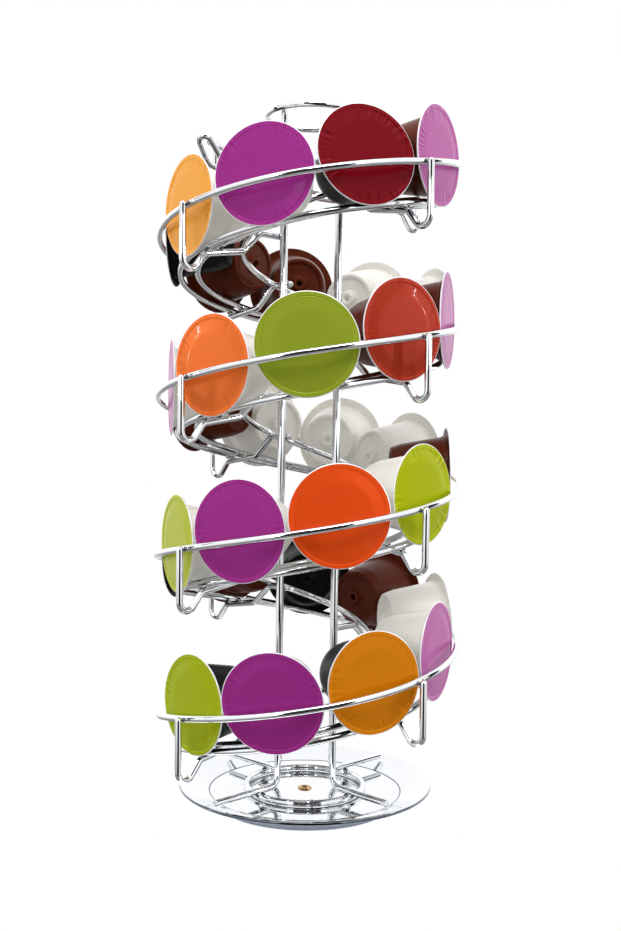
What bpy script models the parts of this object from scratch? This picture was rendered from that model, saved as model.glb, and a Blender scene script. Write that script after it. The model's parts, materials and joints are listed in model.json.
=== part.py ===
"""Spiral dispenser for coffee capsules: a chromed wire rack on a turntable, full of capsules.

Run it with blender --background --python part.py, or from Blender's text editor.
Lengths are in metres and +Z is up. The origin is on the table, on the axis of the turntable.
Azimuths are in degrees from the front (-Y) towards +X. The track climbs that way, so one
angle gives a place on the track. It runs on past 360 degrees on the second turn.
"""

from math import asin, atan2, ceil, cos, degrees, floor, hypot, pi, radians, sin

import bpy
from mathutils import Vector

# Gaps
SEAT_GAP = 0.0003  # between pieces that touch, such as two wires at a weld
PIVOT_GAP = 0.0004  # round the pivot rivet
LID_EDGE_GAP = 0.00272  # between the lids of two neighbours on the track

# Wires
WIRE_DIAMETER = 0.0038
TOP_RING_WIRE_DIAMETER = 0.0034

# Coffee capsule, measured from the face of its lid inwards
LID_DIAMETER = 0.054
FLANGE_THICKNESS = 0.0012
CUP_MOUTH_DIAMETER = 0.0466
CUP_SHOULDER_DIAMETER = 0.0370
CUP_SHOULDER_LENGTH = 0.0061  # of the steep cone between the shoulder and the cup's end
CUP_END_DIAMETER = 0.0316
CUP_END_DEPTH = 0.0336
NOZZLE_DIAMETER = 0.0090
NOZZLE_LENGTH = 0.0024
CAPSULE_AXIS_OVER_GUARD = 0.0052  # from the guard rail up to the lid's centre

# Track
TURN_RISE = 0.092
END_TURN_RISE = 0.078  # on the last, free stretch of the track, which climbs less steeply
END_STRETCH_ANGLE = 1150.0  # where that stretch begins
GUARD_HEIGHT = 0.0747  # of the guard rail at the front of the lowest turn
FLOOR_RAIL_DEPTHS = (0.0050, 0.0155)  # where the floor rails meet the cups
BACK_RAIL_OFF_RODS = 0.0176  # from the circle of the rods out to the back rail
NOZZLE_OFF_BACK_RAIL = 0.0053  # from there out to the capsules' nozzles
FIRST_CAPSULE_ANGLE = -50.3
GUARD_ANGLES = (-69.0, 1309.0)
BACK_ANGLES = (-55.0, 1303.0)
FLOOR_BEND_ANGLES = (-66.0, 1316.5)  # where the floor rails turn up to stop the capsules
STOP_ANGLE = 13.0
STOP_RISE = 0.0090
STOP_WIDTH_SHARE = 0.7  # width of the stop's hairpin, of the distance between the floor rails
GUARD_POINTS_PER_TURN = 28
BACK_POINTS_PER_TURN = 16
FLOOR_POINTS_PER_TURN = 20
HAIRPIN_POINTS = 6

# Bent wire brackets, four to a turn, each welded to the side of a rod
BRACKET_COUNT = 16
FIRST_BRACKET_ANGLE = -45.0
BRACKET_STEP_ANGLE = 90.0
ARM_INSIDE_RODS = 0.0022  # how far an arm starts inside the circle of the rods
ARM_BELOW_GUARD = 0.0072
ARM_SHORT_OF_BACK_RAIL = 0.0032  # from the bend where it turns down, out to the back rail
LEG_RUN = 0.0133  # across the sloping leg, which carries the back rail
HOOK_RUN = 0.0152  # from the end of the bench under the capsules out to the upright
HOOK_BOTTOM_BELOW_GUARD = 0.0338
UPRIGHT_TOP_OVER_GUARD = 0.0010
HOOK_BEND_RADIUS = 0.0052
HOOK_BEND_POINTS = 4

# Rods, their feet and the rings
ROD_RADIUS = 0.0226
TOP_RING_BELOW_RAIL_END = 0.0006  # from the upper end of the guard rail down to the ring
ROD_OVER_RING = 0.0010
FOOT_END_RADII = (0.070, 0.065, 0.067, 0.067)
FOOT_BEND_RADIUS = 0.0060
FOOT_BEND_POINTS = 3
BOTTOM_RING_RADIUS = 0.0344
RING_POINTS = 20

# Turntable
BASE_RADIUS = 0.0530
BASE_HEIGHT = 0.0054
BASE_CHAMFER = 0.0008
DISH_THICKNESS = 0.0010
DISH_FLAT_RADIUS = 0.0565
DISH_RIM_RADIUS = 0.0733
DISH_RIM_RISE = 0.0055
DISH_BEAD = 0.0012
RIVET_RADIUS = 0.0030
RIVET_FLANGE_RADIUS = 0.0042
RIVET_FLANGE_THICKNESS = 0.0008
RIVET_HOLE_RADIUS = 0.0015
RIVET_SHANK_DEPTH = 0.0050  # from the dish's face down to the foot of the shank

# Facets of turned pieces
CAPSULE_SIDES = 12
TURNTABLE_SIDES = 36
RIVET_SIDES = 12
WIRE_SIDES = 8
MERGE_DISTANCE = 1e-6

# Derived sizes
FULL_TURN = 360.0
QUARTER_TURN = 90.0
WIRE = WIRE_DIAMETER / 2
TOP_RING_WIRE = TOP_RING_WIRE_DIAMETER / 2
WIRE_ON_WIRE = WIRE_DIAMETER + SEAT_GAP
CUP_SHOULDER_DEPTH = CUP_END_DEPTH - CUP_SHOULDER_LENGTH
CAPSULE_DEPTH = CUP_END_DEPTH + NOZZLE_LENGTH
BACK_RADIUS = ROD_RADIUS + BACK_RAIL_OFF_RODS
LID_FACE_RADIUS = BACK_RADIUS + NOZZLE_OFF_BACK_RAIL + CAPSULE_DEPTH
GUARD_CHORD_RADIUS = hypot(LID_FACE_RADIUS, LID_DIAMETER / 2) + WIRE + SEAT_GAP
GUARD_RADIUS = GUARD_CHORD_RADIUS / cos(pi / GUARD_POINTS_PER_TURN)
CAPSULE_STEP_ANGLE = 2 * degrees(atan2((LID_DIAMETER + LID_EDGE_GAP) / 2, LID_FACE_RADIUS))
FLOOR_OUTER_RADIUS = LID_FACE_RADIUS - FLOOR_RAIL_DEPTHS[0]
FLOOR_INNER_RADIUS = LID_FACE_RADIUS - FLOOR_RAIL_DEPTHS[1]
UPRIGHT_RADIUS = GUARD_RADIUS + WIRE_ON_WIRE
ARM_START_RADIUS = ROD_RADIUS - ARM_INSIDE_RODS
ARM_BEND_RADIUS = BACK_RADIUS - ARM_SHORT_OF_BACK_RAIL
LEG_FOOT_RADIUS = ARM_BEND_RADIUS + LEG_RUN
BENCH_END_RADIUS = UPRIGHT_RADIUS - HOOK_RUN
DISH_UNDERSIDE = BASE_HEIGHT + SEAT_GAP
DISH_FACE = DISH_UNDERSIDE + DISH_THICKNESS
BOTTOM_RING_HEIGHT = DISH_FACE + SEAT_GAP + WIRE
FOOT_HEIGHT = BOTTOM_RING_HEIGHT + WIRE_ON_WIRE

# Colours as linear red, green and blue
CHROME = (0.72, 0.73, 0.75)
BRASS = (0.62, 0.45, 0.22)
BASE_GREY = (0.55, 0.56, 0.58)
GREEN = (0.33, 0.36, 0.02)
LIME = (0.46, 0.55, 0.02)
PURPLE = (0.26, 0.02, 0.22)
AMBER = (0.58, 0.18, 0.01)
PINK = (0.53, 0.17, 0.48)
CREAM = (0.75, 0.68, 0.50)
ORANGE_RED = (0.62, 0.06, 0.01)
ORANGE = (0.90, 0.34, 0.03)
SALMON = (0.74, 0.17, 0.05)
RED = (0.40, 0.04, 0.03)
DARK_RED = (0.22, 0.01, 0.01)

# The colours of the lids, from the lowest capsule to the highest
LID_COLOURS = (
    GREEN, PURPLE, AMBER, PINK, CREAM, RED, AMBER, CREAM,
    DARK_RED, LIME, PURPLE, ORANGE_RED, LIME, CREAM, PINK, SALMON,
    CREAM, AMBER, PINK, SALMON, GREEN, RED, PINK, CREAM,
    CREAM, ORANGE_RED, RED, DARK_RED, ORANGE, PURPLE, DARK_RED, PINK,
)


def clear_scene():
    """Remove the objects of the start-up scene."""
    for obj in list(bpy.data.objects):
        bpy.data.objects.remove(obj, do_unlink=True)


def new_collection(name):
    collection = bpy.data.collections.new(name)
    bpy.context.scene.collection.children.link(collection)
    return collection


def new_material(name, colour, roughness, metallic):
    material = bpy.data.materials.new(name)
    material.use_nodes = True
    shader = material.node_tree.nodes["Principled BSDF"]
    shader.inputs["Base Color"].default_value = (*colour, 1.0)
    shader.inputs["Roughness"].default_value = roughness
    shader.inputs["Metallic"].default_value = metallic
    return material


def new_axis(name, collection):
    """An empty on the turntable's axis, which carries all that turns."""
    axis = bpy.data.objects.new(name, None)
    collection.objects.link(axis)
    return axis


def around(radius, angle, height):
    """The point at this radius and height, at an azimuth in degrees."""
    turned = radians(angle)
    return Vector((radius * sin(turned), -radius * cos(turned), height))


def guard_height(angle):
    even = min(angle, END_STRETCH_ANGLE) / FULL_TURN
    free = max(angle - END_STRETCH_ANGLE, 0.0) / FULL_TURN
    return GUARD_HEIGHT + TURN_RISE * even + END_TURN_RISE * free


def steepness(radius):
    """Rise over run of a wire that climbs the track at this radius."""
    return TURN_RISE / (2 * pi * radius)


def crossing_angle(rod_angle, radius):
    """Azimuth of a bracket's wire at this radius. The wire lies a weld's width off its rod."""
    return rod_angle - degrees(asin(WIRE_ON_WIRE / radius))


def cup_radius(depth):
    """Radius of a capsule's cup at a depth from the lid's face, down to its shoulder."""
    share = (depth - FLANGE_THICKNESS) / (CUP_SHOULDER_DEPTH - FLANGE_THICKNESS)
    mouth, shoulder = CUP_MOUTH_DIAMETER / 2, CUP_SHOULDER_DIAMETER / 2
    return mouth + (shoulder - mouth) * share


def floor_over_guard(radius):
    """Height above the guard rail of a floor rail that the cups rest on at this radius."""
    cup = cup_radius(LID_FACE_RADIUS - radius)
    return CAPSULE_AXIS_OVER_GUARD - (cup + WIRE + SEAT_GAP) * hypot(1.0, steepness(radius))


def bench_over_guard(radius):
    """Height of the brackets' straight bench, which passes under both floor rails."""
    seats = []
    for rail in (FLOOR_INNER_RADIUS, FLOOR_OUTER_RADIUS):
        seats.append(floor_over_guard(rail) - WIRE_ON_WIRE * hypot(1.0, steepness(rail)))
    slope = (seats[1] - seats[0]) / (FLOOR_OUTER_RADIUS - FLOOR_INNER_RADIUS)
    return seats[0] + slope * (radius - FLOOR_INNER_RADIUS)


def leg_slope():
    drop = bench_over_guard(LEG_FOOT_RADIUS) + ARM_BELOW_GUARD
    return drop / (LEG_FOOT_RADIUS - ARM_BEND_RADIUS)


def back_over_guard():
    """Height of the back rail, which lies on the brackets' sloping legs."""
    leg = -ARM_BELOW_GUARD + leg_slope() * (BACK_RADIUS - ARM_BEND_RADIUS)
    return leg + WIRE_ON_WIRE * hypot(1.0, steepness(BACK_RADIUS), leg_slope())


def arm_height(rod_angle):
    """Height of a bracket's level arm, between its rod and the bend behind the capsules."""
    return guard_height(crossing_angle(rod_angle, ARM_BEND_RADIUS)) - ARM_BELOW_GUARD


def flange_face(radius):
    """Height of the dish's upper face on its sloping flange."""
    share = (radius - DISH_FLAT_RADIUS) / (DISH_RIM_RADIUS - DISH_FLAT_RADIUS)
    return DISH_FACE + DISH_RIM_RISE * share


def wire_object(name, points, material, parent, collection, radius=WIRE, closed=False):
    """A round wire through the points, with filled ends unless it is a closed loop."""
    curve = bpy.data.curves.new(name, "CURVE")
    curve.dimensions = "3D"
    curve.bevel_depth = radius
    curve.bevel_resolution = WIRE_SIDES // 2 - 2
    curve.use_fill_caps = not closed
    spline = curve.splines.new("POLY")
    spline.points.add(len(points) - 1)
    for point, place in zip(spline.points, points):
        point.co = (*place, 1.0)
    spline.use_cyclic_u = closed
    spline.use_smooth = True
    curve.materials.append(material)
    wire = bpy.data.objects.new(name, curve)
    wire.parent = parent
    collection.objects.link(wire)
    return wire


def profile_mesh(name, outline):
    """A mesh of the outline's (radius, height) pairs, for a Screw modifier to turn."""
    mesh = bpy.data.meshes.new(name)
    points = [(radius, 0.0, height) for radius, height in outline]
    edges = [(index, index + 1) for index in range(len(points) - 1)]
    mesh.from_pydata(points, edges, [])
    mesh.materials.append(None)
    return mesh


def turned_object(name, mesh, sides, material, parent, collection):
    turned = bpy.data.objects.new(name, mesh)
    screw = turned.modifiers.new("Turn", "SCREW")
    screw.axis = "Z"
    screw.steps = sides
    screw.render_steps = sides
    screw.use_merge_vertices = True
    screw.merge_threshold = MERGE_DISTANCE
    screw.use_smooth_shade = True
    turned.parent = parent
    collection.objects.link(turned)
    turned.material_slots[0].link = "OBJECT"
    turned.material_slots[0].material = material
    return turned


def rail_angles(radius, ends, points_per_turn):
    """Even steps along a rail, with a point where each bracket crosses it and one at each end."""
    start, end = ends
    step = FULL_TURN / points_per_turn
    crossing = crossing_angle(FIRST_BRACKET_ANGLE, radius)
    first = ceil((start - crossing) / step)
    last = floor((end - crossing) / step)
    return [start, *(crossing + step * count for count in range(first, last + 1)), end]


def rail_points(radius, over_guard, ends, points_per_turn):
    points = []
    for angle in rail_angles(radius, ends, points_per_turn):
        points.append(around(radius, angle, guard_height(angle) + over_guard))
    return points


def stop_rise(angle):
    """How far the floor rails' hairpins have turned up at this angle, past one of the bends."""
    lower, upper = FLOOR_BEND_ANGLES
    return STOP_RISE * max(0.0, lower - angle, angle - upper) / STOP_ANGLE


def floor_rail_points(radius):
    angles = rail_angles(radius, FLOOR_BEND_ANGLES, FLOOR_POINTS_PER_TURN)
    over_guard = floor_over_guard(radius)
    return [around(radius, angle, guard_height(angle) + over_guard) for angle in angles]


def stop_points(bend, ahead):
    """The hairpin that joins the floor rails past a bend, with ahead 1 at the top and -1 below.

    It starts above the outer rail at the top and above the inner rail below.
    """
    middle = (FLOOR_OUTER_RADIUS + FLOOR_INNER_RADIUS) / 2
    half = STOP_WIDTH_SHARE * (FLOOR_OUTER_RADIUS - FLOOR_INNER_RADIUS) / 2
    run = radians(STOP_ANGLE) * middle
    reach = half * run / hypot(run, STOP_RISE)
    points = []
    for count in range(HAIRPIN_POINTS):
        swing = pi * count / (HAIRPIN_POINTS - 1)
        radius = middle + ahead * half * cos(swing)
        angle = bend + ahead * (STOP_ANGLE + degrees(reach * (sin(swing) - 1) / middle))
        height = guard_height(angle) + floor_over_guard(radius) + stop_rise(angle)
        points.append(around(radius, angle, height))
    return points


def hook_outline():
    """(radius, height over the guard rail) of a hook, from the bench's end to the upright's top."""
    across = UPRIGHT_RADIUS - HOOK_BEND_RADIUS
    up = HOOK_BEND_RADIUS - HOOK_BOTTOM_BELOW_GUARD
    start = bench_over_guard(BENCH_END_RADIUS)
    distance = hypot(across - BENCH_END_RADIUS, start - up)
    drop = degrees(atan2(start - up, across - BENCH_END_RADIUS))
    lean = degrees(asin(HOOK_BEND_RADIUS / distance))
    touch = -QUARTER_TURN - drop - lean
    outline = [(BENCH_END_RADIUS, start)]
    for count in range(HOOK_BEND_POINTS):
        swing = radians(touch * (1 - count / (HOOK_BEND_POINTS - 1)))
        outline.append((across + HOOK_BEND_RADIUS * cos(swing), up + HOOK_BEND_RADIUS * sin(swing)))
    outline.append((UPRIGHT_RADIUS, UPRIGHT_TOP_OVER_GUARD))
    return outline


def bracket_points(rod_angle):
    start = crossing_angle(rod_angle, ARM_START_RADIUS)
    points = [around(ARM_START_RADIUS, start, arm_height(rod_angle))]
    outline = [
        (ARM_BEND_RADIUS, -ARM_BELOW_GUARD),
        (LEG_FOOT_RADIUS, bench_over_guard(LEG_FOOT_RADIUS)),
        *hook_outline(),
    ]
    for radius, over_guard in outline:
        angle = crossing_angle(rod_angle, radius)
        points.append(around(radius, angle, guard_height(angle) + over_guard))
    return points


def top_ring_height():
    return guard_height(GUARD_ANGLES[1]) - TOP_RING_BELOW_RAIL_END


def rod_points(angle, foot_end):
    """One rod from its top down, round its bend and out along its foot."""
    bend = ROD_RADIUS + FOOT_BEND_RADIUS
    points = [around(ROD_RADIUS, angle, top_ring_height() + ROD_OVER_RING)]
    for count in range(FOOT_BEND_POINTS + 1):
        swing = pi / 2 * count / FOOT_BEND_POINTS
        radius = bend - FOOT_BEND_RADIUS * cos(swing)
        height = FOOT_HEIGHT + FOOT_BEND_RADIUS * (1 - sin(swing))
        points.append(around(radius, angle, height))
    tip = flange_face(foot_end) + WIRE + SEAT_GAP
    points.append(around(foot_end, angle, max(tip, FOOT_HEIGHT)))
    return points


def ring_points(radius, height):
    return [around(radius, FULL_TURN * count / RING_POINTS, height) for count in range(RING_POINTS)]


def capsule_outline():
    """(radius, height) of a capsule that lies face up, from the lid's middle to the nozzle."""
    return [
        (0.0, 0.0),
        (LID_DIAMETER / 2, 0.0),
        (LID_DIAMETER / 2, -FLANGE_THICKNESS),
        (CUP_MOUTH_DIAMETER / 2, -FLANGE_THICKNESS),
        (CUP_SHOULDER_DIAMETER / 2, -CUP_SHOULDER_DEPTH),
        (CUP_END_DIAMETER / 2, -CUP_END_DEPTH),
        (NOZZLE_DIAMETER / 2, -CUP_END_DEPTH),
        (NOZZLE_DIAMETER / 2, -CAPSULE_DEPTH),
        (0.0, -CAPSULE_DEPTH),
    ]


def dish_outline():
    """(radius, height) round the dish's sheet, from the rivet hole over the rim and back."""
    hole = RIVET_RADIUS + PIVOT_GAP
    rim = DISH_FACE + DISH_RIM_RISE
    return [
        (hole, DISH_FACE),
        (DISH_FLAT_RADIUS, DISH_FACE),
        (DISH_RIM_RADIUS, rim),
        (DISH_RIM_RADIUS + DISH_BEAD, rim - DISH_BEAD / 2),
        (DISH_RIM_RADIUS + DISH_BEAD, rim - DISH_THICKNESS - DISH_BEAD),
        (DISH_RIM_RADIUS, rim - DISH_THICKNESS - DISH_BEAD),
        (DISH_FLAT_RADIUS, DISH_UNDERSIDE),
        (hole, DISH_UNDERSIDE),
        (hole, DISH_FACE),
    ]


def base_outline():
    """(radius, height) round the base, with the blind hole that the rivet's shank stands in."""
    hole = RIVET_RADIUS + PIVOT_GAP
    pocket = DISH_FACE - RIVET_SHANK_DEPTH - SEAT_GAP
    return [
        (0.0, pocket),
        (hole, pocket),
        (hole, BASE_HEIGHT),
        (BASE_RADIUS - BASE_CHAMFER, BASE_HEIGHT),
        (BASE_RADIUS, BASE_HEIGHT - BASE_CHAMFER),
        (BASE_RADIUS, 0.0),
        (0.0, 0.0),
    ]


def rivet_outline():
    """(radius, height) of the hollow rivet that the dish turns on."""
    seat = DISH_FACE + SEAT_GAP
    foot = DISH_FACE - RIVET_SHANK_DEPTH
    return [
        (RIVET_HOLE_RADIUS, seat + RIVET_FLANGE_THICKNESS),
        (RIVET_FLANGE_RADIUS, seat + RIVET_FLANGE_THICKNESS / 2),
        (RIVET_FLANGE_RADIUS, seat),
        (RIVET_RADIUS, seat),
        (RIVET_RADIUS, foot),
        (RIVET_HOLE_RADIUS, foot),
        (RIVET_HOLE_RADIUS, seat + RIVET_FLANGE_THICKNESS),
    ]


def build_turntable(axis, collection):
    grey = new_material("base_grey", BASE_GREY, 0.35, 0.6)
    polish = new_material("dish_polish", CHROME, 0.06, 1.0)
    brass = new_material("rivet_brass", BRASS, 0.3, 1.0)
    pieces = (
        ("turntable_base", base_outline(), TURNTABLE_SIDES, grey, None),
        ("turntable_dish", dish_outline(), TURNTABLE_SIDES, polish, axis),
        ("pivot_rivet", rivet_outline(), RIVET_SIDES, brass, axis),
    )
    for name, outline, sides, material, parent in pieces:
        mesh = profile_mesh(name, outline)
        turned_object(name, mesh, sides, material, parent, collection)


def build_frame(axis, collection):
    """The four rods, the ring that their feet rest on, and the ring round their tops."""
    chrome = new_material("frame_chrome", CHROME, 0.08, 1.0)
    sides = ("front_left", "front_right", "rear_right", "rear_left")
    for index, (side, foot_end) in enumerate(zip(sides, FOOT_END_RADII)):
        angle = FIRST_BRACKET_ANGLE + BRACKET_STEP_ANGLE * index
        points = rod_points(angle, foot_end)
        wire_object(f"rod_{side}", points, chrome, axis, collection)
    bottom_ring = ring_points(BOTTOM_RING_RADIUS, BOTTOM_RING_HEIGHT)
    wire_object("bottom_ring", bottom_ring, chrome, axis, collection, closed=True)
    radius = (ROD_RADIUS + WIRE + SEAT_GAP + TOP_RING_WIRE) / cos(pi / RING_POINTS)
    top_ring = ring_points(radius, top_ring_height())
    wire_object("top_ring", top_ring, chrome, axis, collection, TOP_RING_WIRE, closed=True)


def build_brackets(axis, collection):
    chrome = new_material("bracket_chrome", CHROME, 0.08, 1.0)
    for index in range(BRACKET_COUNT):
        points = bracket_points(FIRST_BRACKET_ANGLE + BRACKET_STEP_ANGLE * index)
        wire_object(f"bracket_{index + 1:02d}", points, chrome, axis, collection)


def build_rails(axis, collection):
    """The guard rail outside, the back rail inside and the floor rails, bent from one wire."""
    chrome = new_material("rail_chrome", CHROME, 0.08, 1.0)
    guard = rail_points(GUARD_RADIUS, 0.0, GUARD_ANGLES, GUARD_POINTS_PER_TURN)
    wire_object("guard_rail", guard, chrome, axis, collection)
    back = rail_points(BACK_RADIUS, back_over_guard(), BACK_ANGLES, BACK_POINTS_PER_TURN)
    wire_object("back_rail", back, chrome, axis, collection)
    lower, upper = FLOOR_BEND_ANGLES
    loop = [
        *floor_rail_points(FLOOR_OUTER_RADIUS),
        *stop_points(upper, 1),
        *reversed(floor_rail_points(FLOOR_INNER_RADIUS)),
        *stop_points(lower, -1),
    ]
    wire_object("floor_rails", loop, chrome, axis, collection, closed=True)


def build_capsules(axis, collection):
    mesh = profile_mesh("capsule", capsule_outline())
    for index, colour in enumerate(LID_COLOURS):
        name = f"capsule_{index + 1:02d}"
        material = new_material(f"{name}_lid", colour, 0.25, 0.0)
        capsule = turned_object(name, mesh, CAPSULE_SIDES, material, axis, collection)
        angle = FIRST_CAPSULE_ANGLE + CAPSULE_STEP_ANGLE * index
        height = guard_height(angle) + CAPSULE_AXIS_OVER_GUARD
        capsule.location = around(LID_FACE_RADIUS, angle, height)
        capsule.rotation_euler = (pi / 2, 0.0, radians(angle))


def main():
    clear_scene()
    dispenser = new_collection("capsule_dispenser")
    turning_axis = new_axis("turning_axis", dispenser)
    build_turntable(turning_axis, dispenser)
    build_frame(turning_axis, dispenser)
    build_brackets(turning_axis, dispenser)
    build_rails(turning_axis, dispenser)
    build_capsules(turning_axis, dispenser)


main()
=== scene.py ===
"""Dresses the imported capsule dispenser: chromed wire, polished turntable and foil-lidded capsules.

Lengths are in metres and +Z is up. Azimuths are in degrees from the front (-Y) towards +X. The
track climbs that way, so one angle gives a place on it and runs on past 360 on the second turn.
"""

from __future__ import annotations

import json
import logging
from dataclasses import dataclass, field
from enum import Enum
from math import asin, atan2, ceil, cos, degrees, hypot, pi, radians, sin, tan
from typing import Any, Iterable, Sequence

import bmesh
import bpy
from mathutils import Matrix, Vector

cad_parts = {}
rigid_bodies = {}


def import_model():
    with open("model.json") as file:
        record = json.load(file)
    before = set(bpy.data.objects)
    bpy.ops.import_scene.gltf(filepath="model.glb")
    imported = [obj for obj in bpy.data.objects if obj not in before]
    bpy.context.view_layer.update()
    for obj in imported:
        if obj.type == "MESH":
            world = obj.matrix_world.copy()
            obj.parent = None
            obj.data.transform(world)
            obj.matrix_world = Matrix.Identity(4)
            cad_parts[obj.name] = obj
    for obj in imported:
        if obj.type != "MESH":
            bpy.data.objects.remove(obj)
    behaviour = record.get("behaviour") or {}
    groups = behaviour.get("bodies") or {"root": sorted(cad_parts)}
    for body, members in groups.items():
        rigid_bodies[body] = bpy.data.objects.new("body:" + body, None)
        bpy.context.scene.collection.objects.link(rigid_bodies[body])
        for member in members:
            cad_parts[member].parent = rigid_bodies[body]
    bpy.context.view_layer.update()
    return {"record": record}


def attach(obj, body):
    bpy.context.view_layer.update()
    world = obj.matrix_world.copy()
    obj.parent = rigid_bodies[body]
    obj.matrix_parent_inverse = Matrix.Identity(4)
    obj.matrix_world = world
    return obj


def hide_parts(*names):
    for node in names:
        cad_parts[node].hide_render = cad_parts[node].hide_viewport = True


LOG = logging.getLogger("capsule_dispenser")
MM = 0.001
# Points closer than this are one point.
MERGE_DISTANCE = 0.001 * MM
# A wave texture swings through this many radians over a unit of its scaled length.
WAVE_PACE = 20.0
# Points on one half-plane through the axis: a radius and a height each.
Outline = list[tuple[float, float]]
# The corners of such an outline: a radius, a height and the radius of its fillet each.
Corners = Sequence[tuple[float, float, float]]


def linear(hex_colour: str) -> tuple[float, float, float, float]:
    """Turn an sRGB hex colour into linear light.

    Args:
        hex_colour: A colour such as "#9AA820".

    Returns:
        Linear red, green and blue, and an alpha of 1.
    """
    channels = [int(hex_colour[start : start + 2], 16) / 255 for start in (1, 3, 5)]
    light = [c / 12.92 if c <= 0.04045 else ((c + 0.055) / 1.055) ** 2.4 for c in channels]
    return light[0], light[1], light[2], 1.0


def add_node(
    tree: bpy.types.NodeTree,
    kind: str,
    inputs: dict[str | int, Any] | None = None,
    **settings: Any,
) -> bpy.types.Node:
    """Add a node with its settings, values and links.

    Args:
        tree: The node tree that gets the node.
        kind: The node's type name.
        inputs: A value, or a socket to link, for each input by its name or index.
        **settings: Properties of the node.

    Returns:
        The new node.
    """
    node = tree.nodes.new(kind)
    for name, value in settings.items():
        setattr(node, name, value)
    for key, value in (inputs or {}).items():
        if isinstance(value, bpy.types.NodeSocket):
            tree.links.new(value, node.inputs[key])
        else:
            node.inputs[key].default_value = value
    return node


def new_surface(name: str, **values: Any) -> tuple[bpy.types.Material, bpy.types.Node]:
    """Make a material with a Principled shader.

    Args:
        name: The material's name.
        **values: Uniform shader values, with underscores for the spaces of their names.

    Returns:
        The material and its shader node.
    """
    material = bpy.data.materials.new(name)
    material.use_nodes = True
    shader = material.node_tree.nodes["Principled BSDF"]
    for key, value in values.items():
        shader.inputs[key.replace("_", " ")].default_value = value
    return material, shader


def rounded(corners: Sequence[Vector], radii: Sequence[float], steps: int = 8) -> list[Vector]:
    """Round the inner corners of a path with arcs.

    Args:
        corners: The path's corners, with its two ends.
        radii: A bend radius for each inner corner, or 0 to leave it sharp.
        steps: The number of chords in each arc.

    Returns:
        The points of the rounded path.
    """
    almost_straight = radians(0.5)
    side_share = 0.49
    points = [corners[0].copy()]
    for before, corner, after, radius in zip(corners, corners[1:], corners[2:], radii):
        back, ahead = (before - corner), (after - corner)
        turn = pi - back.angle(ahead, 0.0)
        if radius <= 0.0 or turn < almost_straight:
            points.append(corner.copy())
            continue
        reach = radius * tan(turn / 2)
        limit = side_share * min(back.length, ahead.length)
        radius *= min(1.0, limit / reach)
        reach = min(reach, limit)
        back.normalize()
        ahead.normalize()
        centre = corner + (back + ahead).normalized() * (radius / cos(turn / 2))
        start = corner + back * reach - centre
        axis = back.cross(ahead).normalized()
        for step in range(steps + 1):
            swing = Matrix.Rotation(-turn * step / steps, 3, axis)
            points.append(centre + swing @ start)
    points.append(corners[-1].copy())
    return points


def rounded_outline(corners: Corners, steps: int = 4) -> Outline:
    """Round the inner corners of a turned outline.

    Each straight part gets a point close to both its ends, so that smooth shading keeps it flat.

    Args:
        corners: The outline's corners with their fillets. Those of its two ends aren't used.
        steps: The number of chords in each fillet.

    Returns:
        The rounded outline.
    """
    places = [Vector((radius, 0.0, height)) for radius, height, _ in corners]
    path = rounded(places, [fillet for _, _, fillet in corners[1:-1]], steps)
    flat_length = 0.5 * MM
    off_end = 0.06 * MM
    held = [path[0]]
    for start, end in zip(path, path[1:]):
        length = (end - start).length
        if length > flat_length:
            near = off_end / length
            held += [start.lerp(end, near), start.lerp(end, 1.0 - near)]
        held.append(end)
    return [(point.x, point.z) for point in held]


def finish_piece(
    bm: bmesh.types.BMesh, name: str, materials: Iterable[bpy.types.Material]
) -> bpy.types.Object:
    """Turn a bmesh into a smooth-shaded object at the origin.

    Args:
        bm: The mesh, whose faces may still point either way. It is freed.
        name: The piece's name.
        materials: Its materials, in the order of the faces' indices.

    Returns:
        The new object.
    """
    bmesh.ops.recalc_face_normals(bm, faces=bm.faces)
    for face in bm.faces:
        face.smooth = True
    mesh = bpy.data.meshes.new(name)
    bm.to_mesh(mesh)
    bm.free()
    for material in materials:
        mesh.materials.append(material)
    piece = bpy.data.objects.new(name, mesh)
    bpy.context.scene.collection.objects.link(piece)
    return piece


def spin_round(bm: bmesh.types.BMesh, sides: int) -> None:
    """Spin an open or closed section once round the Z axis.

    Args:
        bm: A bmesh that holds only the section's points and edges.
        sides: The number of facets in a turn.
    """
    bmesh.ops.spin(
        bm,
        geom=[*bm.verts, *bm.edges],
        cent=(0.0, 0.0, 0.0),
        axis=(0.0, 0.0, 1.0),
        dvec=(0.0, 0.0, 0.0),
        angle=2 * pi,
        steps=sides,
        use_merge=True,
        use_duplicate=False,
    )
    bmesh.ops.remove_doubles(bm, verts=bm.verts, dist=MERGE_DISTANCE)


def turned_mesh(outline: Outline, sides: int) -> bmesh.types.BMesh:
    """Spin an outline of (radius, height) pairs once round the Z axis.

    Args:
        outline: The outline, from one end on the axis or a hole round to the other.
        sides: The number of facets in a turn.

    Returns:
        The turned mesh, closed where its ends meet the axis or each other.
    """
    bm = bmesh.new()
    verts = [bm.verts.new((radius, 0.0, height)) for radius, height in outline]
    for pair in zip(verts, verts[1:]):
        bm.edges.new(pair)
    spin_round(bm, sides)
    return bm


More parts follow.
